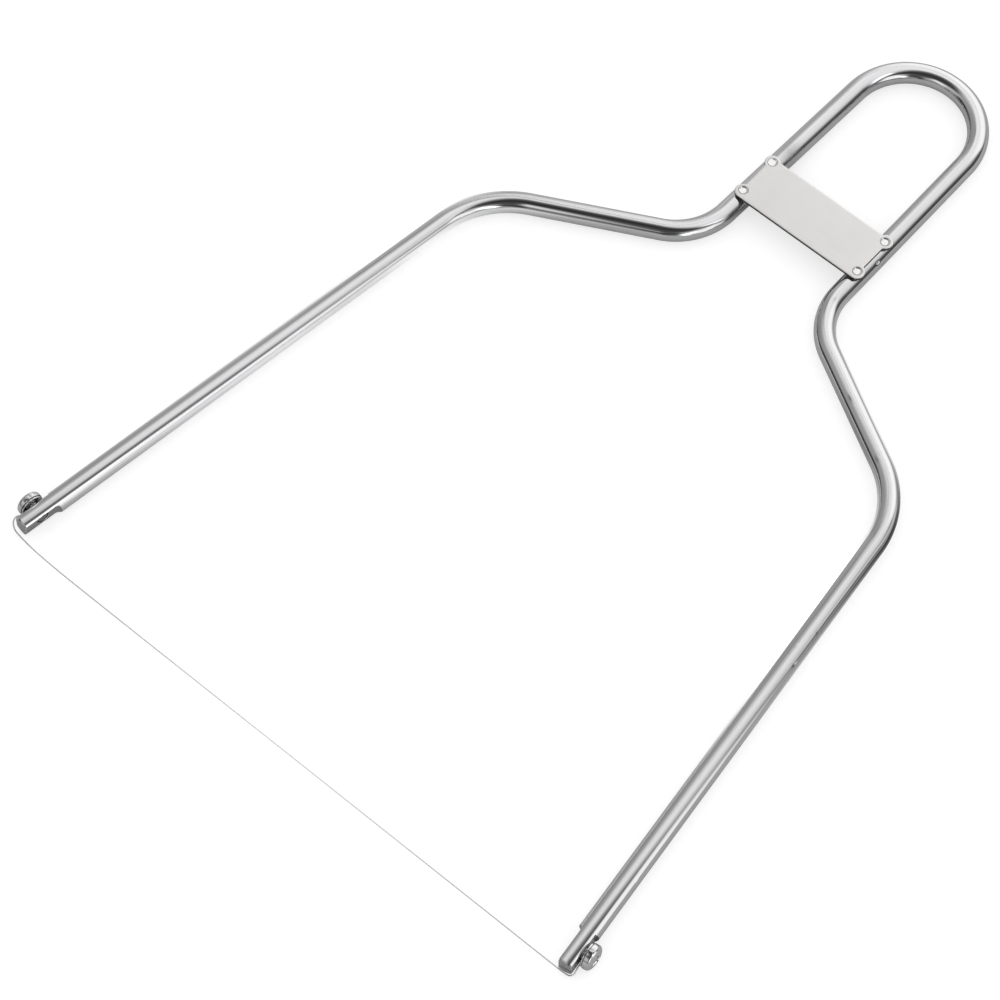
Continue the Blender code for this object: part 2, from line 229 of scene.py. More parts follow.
def steel(name, tint, roughness, grainScale, grainStrength, blotchStrength, useUv, dents=(), scuffsAndPaintedReflection=()):
    # metal whose grain runs along the piece: fine streaks in the roughness and the height
    material, tree, shader = newMaterial(name)
    coords = tree.nodes.new("ShaderNodeTexCoord")
    source = coords.outputs["UV"] if useUv else coords.outputs["Object"]
    stretch = tree.nodes.new("ShaderNodeMapping")
    stretch.inputs["Scale"].default_value = grainScale
    tree.links.new(source, stretch.inputs["Vector"])
    grain = node(tree, "ShaderNodeTexNoise", Scale=1.0, Detail=5.0, Roughness=0.62)
    tree.links.new(stretch.outputs[0], grain.inputs["Vector"])
    blotch = node(tree, "ShaderNodeTexNoise", Scale=90.0, Detail=3.0)
    tree.links.new(coords.outputs["Object"], blotch.inputs["Vector"])
    rough = math2(tree, "ADD", ramp(tree, grain.outputs[0], roughness * 0.75, roughness * 1.25, 0.3, 0.7),
                  ramp(tree, blotch.outputs[0], -blotchStrength, blotchStrength, 0.3, 0.7))
    scuffAndReflection = spotsOnBar(tree, coords.outputs["UV"], scuffsAndPaintedReflection) if scuffsAndPaintedReflection else None
    if scuffAndReflection is not None:
        scuffAndReflection = math2(tree, "MULTIPLY", scuffAndReflection, ramp(tree, blotch.outputs[0], 0.6, 1.2, 0.35, 0.65))
        rough = math2(tree, "ADD", rough, math2(tree, "MULTIPLY", scuffAndReflection, 0.45))
    tree.links.new(math2(tree, "MAXIMUM", rough, 0.02), shader.inputs["Roughness"])
    shade = node(tree, "ShaderNodeMixRGB")
    shade.inputs["Color1"].default_value = (*[c * 0.94 for c in tint], 1)
    shade.inputs["Color2"].default_value = (*tint, 1)
    patchy = math2(tree, "ADD", ramp(tree, grain.outputs[0], 0, 0.6, 0.3, 0.6),
                   ramp(tree, blotch.outputs[0], 0, 0.4, 0.3, 0.7))
    tree.links.new(patchy, shade.inputs["Fac"])
    colour = shade.outputs[0]
    # patches darken the colour: scuffs, and where so listed a painted reflection
    if scuffAndReflection is not None:
        scuffAndReflectionColour = node(tree, "ShaderNodeMixRGB")
        scuffAndReflectionColour.inputs["Color2"].default_value = (*[c * 0.3 for c in tint], 1)
        tree.links.new(math2(tree, "MINIMUM", scuffAndReflection, 1.0), scuffAndReflectionColour.inputs["Fac"])
        tree.links.new(colour, scuffAndReflectionColour.inputs["Color1"])
        colour = scuffAndReflectionColour.outputs[0]
    tree.links.new(colour, shader.inputs["Base Color"])
    bump = node(tree, "ShaderNodeBump", Strength=grainStrength, Distance=0.00002)
    tree.links.new(grain.outputs[0], bump.inputs["Height"])
    normal = bump.outputs[0]
    if dents:
        dented = node(tree, "ShaderNodeBump", Strength=1.0, Distance=0.001)
        tree.links.new(spotsOnBar(tree, coords.outputs["UV"], dents), dented.inputs["Height"])
        tree.links.new(normal, dented.inputs["Normal"])
        normal = dented.outputs[0]
    tree.links.new(normal, shader.inputs["Normal"])
    shader.inputs["Metallic"].default_value = 1.0
    return material


barWearAndPaintedReflection = {
    # mm along the bar, degrees from its top outwards, half length, half width, then depth mm or strength
    "dents": [(94, 48, 0.8, 0.5, -0.3), (277, 48, 1.0, 0.45, -0.05), (171, 12, 1.2, 0.5, -0.02),
              (117, 10, 1.6, 0.6, -0.015), (271, 2, 1.0, 0.4, -0.015), (248, 30, 1.5, 0.5, -0.015),
              (375, 50, 1.0, 0.5, -0.03), (262, 45, 0.8, 0.4, -0.03)],
    # darker, rougher patches: scuffs, except the last, on the left shank's inner side by the plate, which is
    # a painted reflection of the plate
    "scuffsAndPaintedReflection": [(160, -20, 1.8, 0.45, 1.0), (186, -28, 1.6, 0.45, 0.6), (130, -35, 5.0, 0.8, 0.35),
              (117, 10, 1.2, 0.5, 0.3), (-79, -30, 5.0, 2.6, 0.6)],
}
barSteel = steel("polished bar steel", (0.80, 0.80, 0.81), 0.045, (0.6, 260.0, 1.0), 0.12, 0.01, True,
                 barWearAndPaintedReflection["dents"], barWearAndPaintedReflection["scuffsAndPaintedReflection"])
plateSteel = steel("satin plate steel", (0.82, 0.805, 0.79), 0.42, (90.0, 2600.0, 90.0), 0.6, 0.04, False)
# milled faces: rougher than the polish, and their darker tone is partly painted shade
milledSteelAndShade = steel("milled steel, partly painted shade", (0.52, 0.52, 0.52), 0.20, (1500.0, 1500.0, 150.0), 0.5, 0.05, False)
# the plate's side walls: rough as sheared metal, but the near-black colour is painted shade of the gap and
# shadow round the plate
plateEdgeShadeSteel = steel("plate edge, painted shade", (0.10, 0.10, 0.10), 0.35, (1800.0, 1800.0, 200.0), 0.5, 0.05, False)
# the plate's lower face: its dark colour is painted shade under the plate
plateUndersideShadeSteel = steel("plate underside, painted shade", (0.25, 0.25, 0.25), 0.40, (90.0, 2600.0, 90.0), 0.6, 0.04, False)
rivetSteel = steel("rivet steel", (0.92, 0.92, 0.915), 0.12, (400.0, 400.0, 400.0), 0.15, 0.03, False)
screwSteel = steel("screw steel", (0.80, 0.80, 0.795), 0.055, (500.0, 500.0, 500.0), 0.1, 0.01, False)
# screw shank below the outer flat: its dark colour is painted shade
threadShadeSteel = steel("thread steel, painted shade", (0.38, 0.38, 0.38), 0.25, (500.0, 500.0, 500.0), 0.1, 0.02, False)
wireSteel = steel("wire steel", (0.93, 0.93, 0.93), 0.3, (3000.0, 3000.0, 3000.0), 0.2, 0.03, False)


barLook = {
    "aroundCount": 108,         # evenly spread angles round the bar
    "edgeSpread": 3.0,          # degrees on both sides of each milled edge that get extra points
    "edgeSoftness": 0.035,      # rounding of milled edges, mm
    "leftFlatRoll": 11.0,       # degrees by which the left inner flat looks down
    "bendStep": 1.5,            # degrees between rings on a bend
    "straightStep": 4.0,        # mm between rings on a straight
}


def ringPlaces():
    places = [np.array([0.0])]
    for k in range(6):
        a, b = stations[k], stations[k + 1]
        if k in (0, 2, 4):
            count = math.ceil(abs(math.degrees(headings[k + 1] - headings[k])) / barLook["bendStep"])
        else:
            count = math.ceil((b - a) / barLook["straightStep"])
        if k == 5:
            b = shoulderS - 1.0
        places.append(np.linspace(a, b, count + 1)[1:])
    end = np.concatenate([[-0.6, -0.3, -0.15, -0.06, 0.0, 0.0, 0.06, 0.15],
                          np.arange(0.3, 2.1, 0.1), np.arange(2.2, 14.5, 0.3),
                          [14.5, 14.56, 14.6, 14.64, 14.7, 14.9, 14.97, 15.0, 15.0]])
    return np.concatenate(places), end


def softMin(value, limit, softness):
    # the lesser of two, rounded over a small width: value - k log(1 + e^((value - limit) / k))
    return value - softness * np.logaddexp(0, (value - limit) / softness)


def barPoints():
    # profile (4 sin a, 4 cos a) carried along the course; on the tongues the flats clip its outward part
    flatAngles = [math.degrees(math.asin(bar["outerFlat"] / bar["radius"])),
                  -math.degrees(math.asin(bar["innerFlat"] / bar["radius"]))]
    angles = [np.arange(barLook["aroundCount"]) * 360 / barLook["aroundCount"]]
    roll = barLook["leftFlatRoll"]
    for a, turnBy in ((flatAngles[0], 0), (flatAngles[1], 0), (flatAngles[1], -roll)):
        for edge in (a + turnBy, 180 - a + turnBy):
            angles.append(edge % 360 + np.linspace(-1, 1, 9) * barLook["edgeSpread"])
    angles = np.unique(np.round(((np.concatenate(angles) + 180) % 360 - 180) / 0.2)) * 0.2
    turn = np.radians(angles)
    plain, end = ringPlaces()
    rightS = np.concatenate([plain, shoulderS + end])
    along = np.concatenate([np.full(len(plain), -9.0), end])
    cutOuter = np.concatenate([np.zeros(len(plain)), np.where(np.arange(len(end)) >= 5, 1.0, 0.0)])
    s = np.concatenate([-rightS[:0:-1], rightS])
    v = np.concatenate([along[:0:-1], along])
    outerOn = np.concatenate([cutOuter[:0:-1], cutOuter])
    radius = bar["radius"] * np.ones(len(s))
    chamferFrom = bar["tongueLength"] - bar["endChamfer"]
    radius -= np.clip(v - chamferFrom, 0, None)
    out = radius[:, None] * np.sin(turn)[None, :]
    up = radius[:, None] * np.cos(turn)[None, :]
    # outer flat: its round shoulder moves the rings near it along the bar
    wall = bar["endMillRadius"] - np.sqrt(bar["endMillRadius"] ** 2 - up ** 2)
    fade = np.clip(1 - np.abs(v) / 4.0, 0, 1)[:, None] * np.clip(out / bar["radius"], 0, 1)
    shift = wall * fade * (v > -9)[:, None]
    clipped = softMin(out, bar["outerFlat"], barLook["edgeSoftness"])
    out = np.where(outerOn[:, None] > 0, clipped, out)
    # inner flat: depth runs out in a round of its own radius
    depth = bar["radius"] - bar["innerFlat"]
    run = np.clip(v / depth, 0, 1)
    limit = bar["radius"] - depth * np.sqrt(1 - (1 - run) ** 2)
    limit = np.where(v <= 0, bar["radius"] + 1.0, limit)
    rolled = np.radians(np.where(s < 0, roll, 0.0))[:, None]
    inward = -(out * np.cos(rolled) + up * np.sin(rolled))
    cut = inward - softMin(inward, limit[:, None], barLook["edgeSoftness"])
    out, up = out + cut * np.cos(rolled), up + cut * np.sin(rolled)
    point, ahead, outward = course(s)
    side = np.sign(s + 1e-9)
    moved = point[:, None, :] + shift[..., None] * ahead[:, None, :]
    points = moved + out[..., None] * outward[:, None, :] + up[..., None] * np.array([0, 0, 1.0])
    uv = np.stack(np.broadcast_arrays(s[:, None] / 10, turn[None, :] / (2 * np.pi)), -1)
    return points, uv, s


def cutWith(piece, shapes):
    # takes all the shapes, given as (points, faces), out of the piece in one cut
    points, faces, count = [], [], 0
    for shapePoints, shapeFaces in shapes:
        points.append(shapePoints)
        faces += [[k + count for k in face] for face in shapeFaces]
        count += len(shapePoints)
    mesh = bpy.data.meshes.new("hole")
    mesh.from_pydata((np.concatenate(points) * mm).tolist(), [], faces)
    cutter = bpy.data.objects.new("hole", mesh)
    bpy.context.scene.collection.objects.link(cutter)
    fixNormals(cutter)
    boolean = piece.modifiers.new("hole", "BOOLEAN")
    boolean.object = cutter
    boolean.operation = "DIFFERENCE"
    boolean.solver = "EXACT"
    bpy.context.view_layer.update()
    depsgraph = bpy.context.evaluated_depsgraph_get()
    cutMesh = bpy.data.meshes.new_from_object(piece.evaluated_get(depsgraph))
    piece.modifiers.clear()
    piece.data = cutMesh
    bpy.data.objects.remove(cutter, do_unlink=True)
    return cutMesh


def makeBar():
    # the grid of rings, closed at both tips by a fan round a centre point, then drilled
    points, uv, s = barPoints()
    rows, columns = points.shape[:2]
    faces = gridFaces(rows, columns)
    centres = []
    flatPoints = points.reshape(-1, 3)
    flatUv = uv.reshape(-1, 2)
    caps = []
    for row in (0, rows - 1):
        ring = points[row]
        centre = ring.mean(axis=0)
        index = len(flatPoints) + len(centres)
        centres.append(centre)
        first = row * columns
        j = np.arange(columns)
        if row == 0:
            cap = np.stack([first + j, np.full(columns, index), first + (j + 1) % columns], -1)
        else:
            cap = np.stack([first + j, first + (j + 1) % columns, np.full(columns, index)], -1)
        caps.append(cap)
    allPoints = np.concatenate([flatPoints, centres])
    allUv = np.concatenate([flatUv, [[s[0] / 10, 0.5], [s[-1] / 10, 0.5]]])
    allFaces = faces.tolist() + np.concatenate(caps).tolist()
    mesh = bpy.data.meshes.new("bar")
    mesh.from_pydata((allPoints * mm).tolist(), [], allFaces)
    layer = mesh.uv_layers.new(name="along")
    corners = np.empty(len(mesh.loops), dtype=np.int32)
    mesh.loops.foreach_get("vertex_index", corners)
    loopUv = allUv[corners]
    last = loopUv[:len(faces) * 4].reshape(rows - 1, columns, 4, 2)[:, -1]      # quads that close the ring
    last[:, 1:3, 1] += 1.0
    layer.data.foreach_set("uv", loopUv.astype(np.float32).ravel())
    piece = bpy.data.objects.new("bar", mesh)
    bpy.context.scene.collection.objects.link(piece)
    fixNormals(piece)
    cutters = []
    for name, side in sideNames.items():
        a = np.linspace(0, 2 * np.pi, 97)[:-1]
        wide = bar["holeRadius"] + bar["holeChamfer"]
        rings = ((-6.0, wide), (-bar["innerFlat"] - 0.001, wide),
                 (bar["holeChamfer"] - bar["innerFlat"], bar["holeRadius"]), (6.0, bar["holeRadius"]))
        pts = np.concatenate([onEnd(side, bar["screwPlace"] + radius * np.cos(a), np.full(96, out),
                                    radius * np.sin(a)) for out, radius in rings])
        cutterFaces = gridFaces(4, 96).tolist() + [list(range(95, -1, -1)), list(range(288, 384))]
        cutters.append((pts, cutterFaces))
    cutMesh = cutWith(piece, cutters)
    cutMesh.materials.clear()
    cutMesh.materials.append(barSteel)
    cutMesh.materials.append(milledSteelAndShade)
    # whatever lies inside the bar's round near its ends is milled: flats, run-outs, holes, end faces; they
    # get the rougher finish with a darker tone that is partly painted shade
    centre = np.empty(len(cutMesh.polygons) * 3, dtype=np.float32)
    cutMesh.polygons.foreach_get("center", centre)
    centre = centre.reshape(-1, 3) / mm
    milled = np.zeros(len(centre), dtype=np.int32)
    for side in sideNames.values():
        base, ahead, outward, upward = endFrame(side)
        along, out, up = (centre - base) @ ahead, (centre - base) @ outward, (centre - base) @ upward
        inside = (np.hypot(out, up) < bar["radius"] - 0.07) & (along > -1.0)
        polishedRim = (along > bar["tongueLength"] - bar["endChamfer"]) & (along < bar["tongueLength"] - 0.01)
        milled[inside & ~polishedRim & (np.abs(out) < 5)] = 1
    cutMesh.polygons.foreach_set("material_index", milled)
    cutMesh.shade_smooth()
    cutMesh.set_sharp_from_angle(angle=math.radians(38))
    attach(piece, "frame")
    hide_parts("frame_rod")
    return piece


barPiece = makeBar()
print("bar:", len(barPiece.data.vertices), "points")


plate = {
    "waist": 54.9,
    "rows": (47.2, 63.5),       # rivet rows below the loop's centre
    "topMargin": 1.6,
    "bottomDrop": 0.4,          # lower bulges sit this far below their rivets
    "rightInset": 0.35,         # right waist is cut in further than the left one
    "lobeRadius": 3.0,
    "shift": 0.3,               # it was riveted on slightly off centre and askew
    "turn": 0.5,
    "filletRadius": 0.8,
    "thickness": 1.2,
    "gap": 0.2,
    "edgeRound": 0.14,
    "rollWidth": 0.75,
    "rollDrop": 0.07,
}


rivet = {
    "rimRadius": 1.72,
    "rimHeight": 0.06,          # above the plate
    "dishRadius": 1.15,
    "dishDepth": 0.28,          # below the plate's top
    "shallow": 0.4,             # share of these heights on the upper left one
    "shankRadius": 1.1,
    "holeRadius": 1.88,
}


def shankX(y):
    start = bar["loopRadius"] * np.array([math.cos(headings[1]), math.sin(headings[1])])
    return start[0] + (start[1] - y) * math.tan(headings[1])


def arcPoints(centre, radius, start, end, step=math.radians(3)):
    angle = np.linspace(start, end, math.ceil(abs(end - start) / step) + 1)
    return np.asarray(centre) + radius * np.stack([np.cos(angle), np.sin(angle)], -1)


def evenOutline(points, spacing):
    # walk a closed outline at an even spacing, keeping it closed
    closed = np.vstack([points, points[:1]])
    length = np.concatenate([[0], np.cumsum(np.hypot(*np.diff(closed, axis=0).T))])
    keep = np.concatenate([[True], np.diff(length) > 1e-6])
    closed, length = closed[keep], length[keep]
    s = np.linspace(0, length[-1], int(length[-1] / spacing) + 1)[:-1]
    return np.stack([np.interp(s, length, closed[:, k]) for k in (0, 1)], -1)


def onPlate(points):
    # places laid out square to the bar's loop, moved and turned with the plate
    points = np.asarray(points, dtype=float)
    centre = np.array([0.0, -(plate["rows"][0] + plate["rows"][1]) / 2])
    turn = math.radians(plate["turn"])
    rotate = np.array([[math.cos(turn), math.sin(turn)], [-math.sin(turn), math.cos(turn)]])
    return (points - centre) @ rotate + centre + [plate["shift"], loopY]


def plateOutline():
    upper = np.array([shankX(-plate["rows"][0]), -plate["rows"][0]])
    lower = np.array([shankX(-plate["rows"][1]), -plate["rows"][1] - plate["bottomDrop"]])
    lobe, fillet = plate["lobeRadius"], plate["filletRadius"]
    reach = lobe + fillet
    crest = math.pi - math.asin((plate["topMargin"] + fillet) / reach)

    def beside(centre, angle):
        return centre + reach * np.array([math.cos(angle), math.sin(angle)])

    def half(inset):
        edge = plate["waist"] / 2 - inset + fillet
        upperWaist = -math.acos((edge - upper[0]) / reach)
        lowerWaist = math.acos((edge - lower[0]) / reach)
        return np.vstack([
            arcPoints(beside(upper, crest), fillet, -math.pi / 2, crest - math.pi),
            arcPoints(upper, lobe, crest, upperWaist),
            arcPoints(beside(upper, upperWaist), fillet, upperWaist + math.pi, math.pi),
            arcPoints(beside(lower, lowerWaist), fillet, math.pi, lowerWaist + math.pi),
            arcPoints(lower, lobe, lowerWaist, -math.pi / 2),
        ])

    outline = np.vstack([half(plate["rightInset"]), half(0)[::-1] * [-1, 1]])[::-1]      # anticlockwise
    return onPlate(evenOutline(outline, 0.3))


def makePlate():
    outline = plateOutline()
    ahead = np.roll(outline, -1, 0) - np.roll(outline, 1, 0)
    ahead /= np.linalg.norm(ahead, axis=1)[:, None]
    inward = np.stack([-ahead[:, 1], ahead[:, 0]], -1)
    low = bar["axisHeight"] + bar["radius"] + plate["gap"]
    high = low + plate["thickness"]
    r = plate["edgeRound"]
    quarter = np.linspace(0, math.pi / 2, 6)
    # edge section: (inset, height) from the underside round the edge to the top
    section = [(r * (1 - math.sin(a)), low + r * (1 - math.cos(a))) for a in quarter]
    section += [(r * (1 - math.cos(a)), high - plate["rollDrop"] - r * (1 - math.sin(a))) for a in quarter]
    # towards the edge the top falls off by rollDrop, as sheared sheet does
    fall = np.linspace(0, 1, 8)[1:]
    topRun = [(r + (plate["rollWidth"] - r) * t, high - plate["rollDrop"] * (1 - t) ** 2) for t in fall]
    section = [(r * 4, low)] + section + topRun
    rings = []
    for inset, height in section:
        rings.append(np.column_stack([outline + inset * inward, np.full(len(outline), height)]))
    rings = np.array(rings)
    rows, columns = rings.shape[:2]
    faces = gridFaces(rows, columns).tolist()
    faces.append(list(range(columns - 1, -1, -1)))
    faces.append([(rows - 1) * columns + j for j in range(columns)])
    piece = newPiece("plate", rings.reshape(-1, 3), [[0, 1, 2]], plateSteel, "frame",
                     ["cross_plate"])
    piece.data.clear_geometry()
    piece.data.from_pydata((rings.reshape(-1, 3) * mm).tolist(), [], faces)
    fixNormals(piece)
    cutters = []
    a = np.linspace(0, 2 * np.pi, 65)[:-1]
    for row in (0, 1):
        for side in sideNames.values():
            y = -plate["rows"][row]
            place = onPlate([side * shankX(y), y])
            pts = np.concatenate([np.stack([place[0] + rivet["holeRadius"] * np.cos(a),
                                            place[1] + rivet["holeRadius"] * np.sin(a), np.full(64, z)], -1)
                                  for z in (low - 1, high + 1)])
            cutters.append((pts, gridFaces(2, 64).tolist() + [list(range(63, -1, -1)), list(range(64, 128))]))
    mesh = cutWith(piece, cutters)
    mesh.materials.clear()
    for material in (plateSteel, plateEdgeShadeSteel, plateUndersideShadeSteel):
        mesh.materials.append(material)
    # satin on top and on the rounded upper edge; on the walls, rough metal with a near-black painted shade;
    # underneath, matt metal with a dark painted shade
    normalZ = np.array([face.normal.z for face in mesh.polygons])
    kinds = np.where(normalZ > 0.75, 0, np.where(normalZ < -0.9, 2, 1))
    mesh.polygons.foreach_set("material_index", kinds.astype(np.int32))
    mesh.shade_smooth()
    mesh.set_sharp_from_angle(angle=math.radians(40))
    return piece


platePiece = makePlate()
print("plate:", len(platePiece.data.vertices), "points")


def turned(name, profile, place, axes, count, material, body, replaced, shape=None):
    # point(i, a) = place + radius_i (cos a, sin a) + height_i along the axis
    profile = np.asarray(profile, dtype=float)
    a = np.linspace(0, 2 * np.pi, count + 1)[:-1]
    radius = profile[:, 0][:, None] * np.ones(count)
    height = profile[:, 1][:, None] * np.ones(count)
    if shape is not None:
        radius, height = shape(radius, height, a[None, :])
    acrossX, acrossY, upward = axes
    points = (np.asarray(place) + (radius * np.cos(a))[..., None] * acrossX
              + (radius * np.sin(a))[..., None] * acrossY + height[..., None] * upward)
    faces = gridFaces(len(profile), count)
    piece = newPiece(name, points.reshape(-1, 3), faces, material, body, replaced)
    fixNormals(piece)
    piece.data.shade_smooth()
    piece.data.set_sharp_from_angle(angle=math.radians(50))
    return piece


def roundedProfile(corners, steps=5):
    # corners are (radius, height, rounding); each is replaced by a small arc
    points = []
    for k, (x, y, r) in enumerate(corners):
        here = np.array([x, y], float)
        if r == 0 or k in (0, len(corners) - 1):
            points.append(here)
            continue
        before = np.array(corners[k - 1][:2], float) - here
        after = np.array(corners[k + 1][:2], float) - here
        before /= np.linalg.norm(before)
        after /= np.linalg.norm(after)
        half = math.acos(np.clip(before @ after, -1, 1)) / 2
        reach = r / math.tan(half)
        centre = here + (before + after) / np.linalg.norm(before + after) * r / math.sin(half)
        start = here + before * reach - centre
        end = here + after * reach - centre
        for t in np.linspace(0, 1, steps):
            blend = start * (1 - t) + end * t
            points.append(centre + blend / np.linalg.norm(blend) * r)
    return np.array(points)


worldAxes = (np.array([1.0, 0, 0]), np.array([0, 1.0, 0]), np.array([0, 0, 1.0]))


def makeRivets():
    # profile: flat dish bottom, sloping wall, narrow rim just above the plate, body down into the bar
    top = bar["axisHeight"] + bar["radius"] + plate["gap"] + plate["thickness"]
    for row, level in enumerate(("upper", "lower")):
        for name, side in sideNames.items():
            y = -plate["rows"][row]
            place = np.array([*onPlate([side * shankX(y), y]), top])
            shallow = rivet["shallow"] if (level, name) == ("upper", "left") else 1.0
            floorZ, rimZ = -rivet["dishDepth"] * shallow, rivet["rimHeight"] * shallow
            rim = rivet["rimRadius"]
            shank = rivet["shankRadius"]
            profile = roundedProfile([(0, floorZ, 0), (rivet["dishRadius"], floorZ, 0.12),
                                      (rim - 0.14, rimZ, 0.03), (rim - 0.02, rimZ, 0.03),
                                      (rim, -0.12, 0.02), (rim, -1.15, 0.02),
                                      (shank, -1.15, 0.02), (shank, -2.4, 0.02), (0, -2.4, 0)])
            turned(f"rivet_{level}_{name}_head", profile, place, worldAxes, 64, rivetSteel, "frame",
                   [f"rivet_{level}_{name}"])


makeRivets()
print("rivets done")


clamp = {
    "washerInner": 2.5,
    "washerOuter": 4.5,
    "washerThickness": 0.6,
    "washerHeight": 3.8,
    "seatHeight": 4.6,
    "headRadius": 4.75,
    "headSide": 1.4,
    "headHeight": 3.3,
    "shankRadius": 2.25,
    "shankLength": 6.3,
    "pitch": 0.8,
    "threadDepth": 0.22,
    "recessSpan": 2.6,          # centre to the end of a wing
    "recessWidth": 0.65,        # half width of a wing
    "recessDepth": 2.4,
    "recessTurn": 20.0,
}


def crossRecess(x, y):
    # depth below the crown of a cross with sloping walls: two wings that narrow with depth
    turn = math.radians(clamp["recessTurn"])
    u = x * math.cos(turn) + y * math.sin(turn)
    v = -x * math.sin(turn) + y * math.cos(turn)

    def wing(a, b):
        endWall = (clamp["recessSpan"] - np.abs(a)) * 1.2
        sideWall = (clamp["recessWidth"] - np.abs(b)) * 5.0
        return np.minimum(endWall, sideWall)

    core = (1.15 - np.hypot(x, y)) * 3.0
    depth = np.maximum(np.maximum(wing(u, v), wing(v, u)), core)
    return np.clip(depth, 0, clamp["recessDepth"])


def makeScrews():
    for name, side in sideNames.items():
        base, ahead, outward, upward = endFrame(side)
        axes = (ahead, upward, outward)
        place = onEnd(side, bar["screwPlace"], clamp["seatHeight"], 0.0)
        # crown: height = side + rise (1 - (radius / head radius)^2.5)^(1/2), finely stepped over the recess
        radius = np.concatenate([np.linspace(0, 3.0, 110),
                                 np.linspace(3.0, clamp["headRadius"] * 0.999, 26)[1:]])
        share = radius / clamp["headRadius"]
        rise = clamp["headHeight"] - clamp["headSide"]
        height = clamp["headSide"] + rise * (1 - share ** 2.5) ** (1 / 2.0)
        profile = list(zip(radius, height))
        tail = roundedProfile([(clamp["headRadius"], clamp["headSide"], 0), (clamp["headRadius"], 0, 0.15),
                               (clamp["shankRadius"] - 0.05, 0, 0)])
        profile += [tuple(p) for p in tail]
        shankZ = np.linspace(-0.02, -clamp["shankLength"], 120)
        profile += [(clamp["shankRadius"], z) for z in shankZ]
        profile += [(clamp["shankRadius"] - 0.35, -clamp["shankLength"] - 0.001), (0, -clamp["shankLength"])]

        def shape(radius, height, a):
            # recess sinks the crown; thread: radius drops by a triangle wave of height / pitch - turn
            top = height > clamp["headSide"]
            sunk = height - crossRecess(radius * np.cos(a), radius * np.sin(a))
            cutHeight = np.where(top & (radius < 3.1), sunk, height)
            onShank = (height < -0.5) & (radius > clamp["shankRadius"] - 0.01)
            wave = np.abs(((height / clamp["pitch"] - a / (2 * np.pi)) % 1.0) * 2 - 1)
            endFade = np.clip((height + clamp["shankLength"]) / 0.4, 0, 1)
            threaded = radius - clamp["threadDepth"] * wave - 0.35 * (1 - endFade)
            return np.where(onShank, threaded, radius), cutHeight

        screw = turned(f"{name}_screw", profile, place, axes, 240, screwSteel, f"{name}_screw_body",
                       [f"{name}_clamp_screw"], shape)
        screw.data.materials.append(threadShadeSteel)
        # faces more than 0.3 mm beneath the outer flat take the darker colour, painted shade on the shank
        centre = np.empty(len(screw.data.polygons) * 3, dtype=np.float32)
        screw.data.polygons.foreach_get("center", centre)
        depth = (centre.reshape(-1, 3) / mm - place) @ outward
        screw.data.polygons.foreach_set("material_index", (depth < -0.3).astype(np.int32))
        washerProfile = roundedProfile([
            (clamp["washerInner"], 0.3, 0), (clamp["washerInner"], clamp["washerThickness"], 0.08),
            (clamp["washerOuter"], clamp["washerThickness"], 0.15), (clamp["washerOuter"], 0, 0.15),
            (clamp["washerInner"], 0, 0.08), (clamp["washerInner"], 0.3, 0)])
        washerPlace = onEnd(side, bar["screwPlace"], clamp["washerHeight"], 0.0)
        turned(f"{name}_washer_ring", washerProfile, washerPlace, axes, 96, screwSteel,
               f"{name}_washer_body", [f"{name}_washer"])


makeScrews()
print("screws and washers done")


wire = {
    "radius": 0.25,
    "height": 3.3,              # off the axis, on the outer flat
    "drop": -2.75,              # below the axis beside the screw
    "level": -2.5,
    "tailPlace": 1.2,
    "tailRise": 0.75,
    "cornerRadius": 1.7,
    "endGap": 0.3,
    "slackSlope": 0.0107,       # the middle run falls away from the handle towards the left end
    "leftLoop": [(9.0, 3.4), (11.0, 4.7), (13.0, 5.7), (14.8, 5.1), (15.9, 3.7), (16.7, 1.8), (16.9, -0.1)],
    "leftEase": 9.0,            # mm over which the left loop runs into the middle
    "around": 12,
}


def smoothThrough(points, count):
    # curve through the points: cubic from each to the next, its slopes half the step between the neighbours
    points = np.asarray(points, dtype=float)
    padded = np.vstack([2 * points[0] - points[1], points, 2 * points[-1] - points[-2]])
    p0, p1, p2, p3 = padded[:-3], padded[1:-2], padded[2:-1], padded[3:]
    t = np.linspace(0, 1, count + 1)[:-1][None, :, None]
    p0, p1, p2, p3 = (p[:, None, :] for p in (p0, p1, p2, p3))
    curve = 0.5 * (2 * p1 + (p2 - p0) * t + (2 * p0 - 5 * p1 + 4 * p2 - p3) * t ** 2
                   + (3 * p1 - p0 - 3 * p2 + p3) * t ** 3)
    return np.vstack([curve.reshape(-1, points.shape[1]), points[-1:]])


def wireTail(side):
    t = np.linspace(0, 1, 12)
    tail = onEnd(side, wire["tailPlace"] + 3.3 * t, np.full(12, wire["height"]),
                 wire["drop"] + wire["tailRise"] * (1 - t) ** 2)
    run = onEnd(side, np.array([6.0, 7.5]), np.full(2, wire["height"]), np.full(2, wire["drop"]))
    return np.vstack([tail, run])


